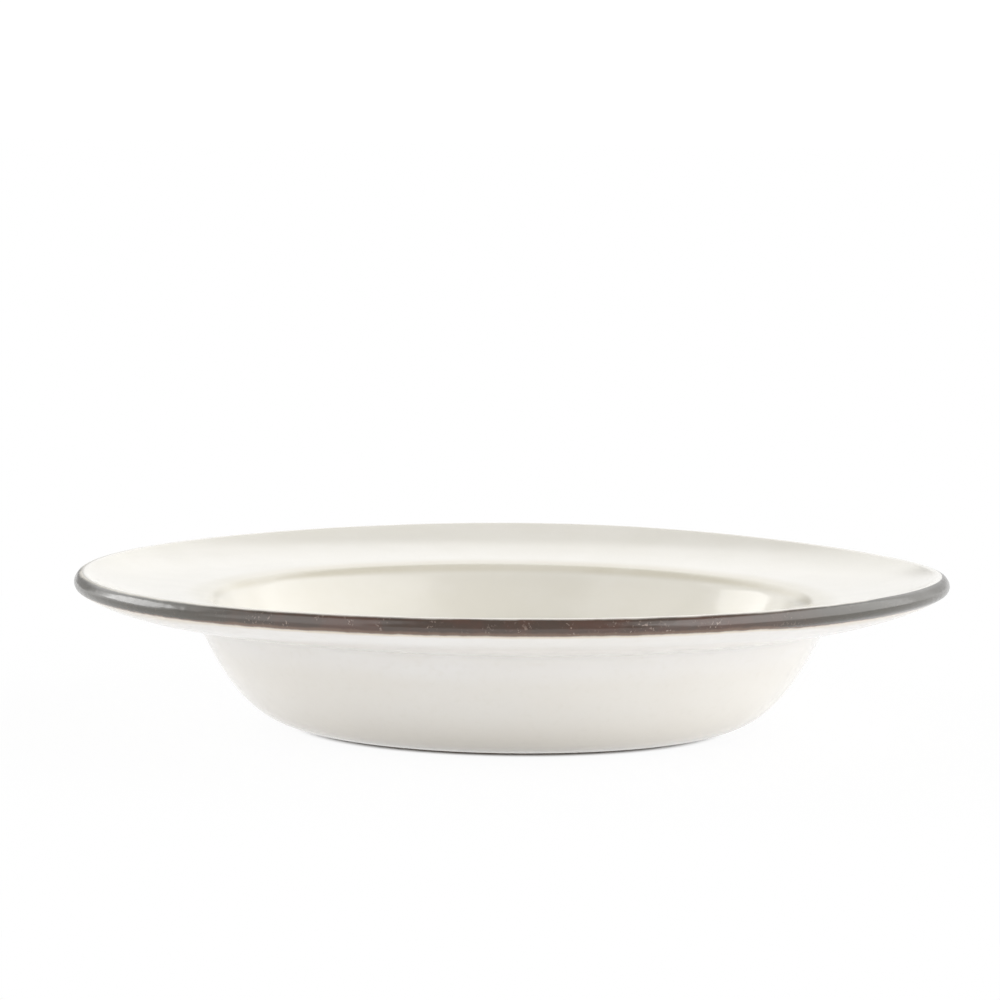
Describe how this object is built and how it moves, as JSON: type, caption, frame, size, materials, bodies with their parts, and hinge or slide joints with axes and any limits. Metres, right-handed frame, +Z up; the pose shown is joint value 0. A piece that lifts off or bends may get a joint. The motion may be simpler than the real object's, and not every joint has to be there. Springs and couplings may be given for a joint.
{
  "type": "rimmed soup plate",
  "caption": "Round stoneware soup plate: wide rising rim, deep curved well, low foot ring, cream glaze and a dark iron band round the lip.",
  "frame": {"origin": "middle of the plane that the foot ring rests on", "axes": "+Z up along the plate's axis of revolution; the picture looks along +Y"},
  "size_m": [0.24, 0.24, 0.0436],
  "materials": {
    "bare_clay": "matte",
    "cream_glaze": "gloss",
    "iron_band": "satin"
  },
  "bodies": {
    "root": {"clay_body": "bare_clay", "upper_glaze": "cream_glaze", "outer_glaze": "cream_glaze", "base_glaze": "cream_glaze", "rim_band": "iron_band"}
  },
  "joints": []
}
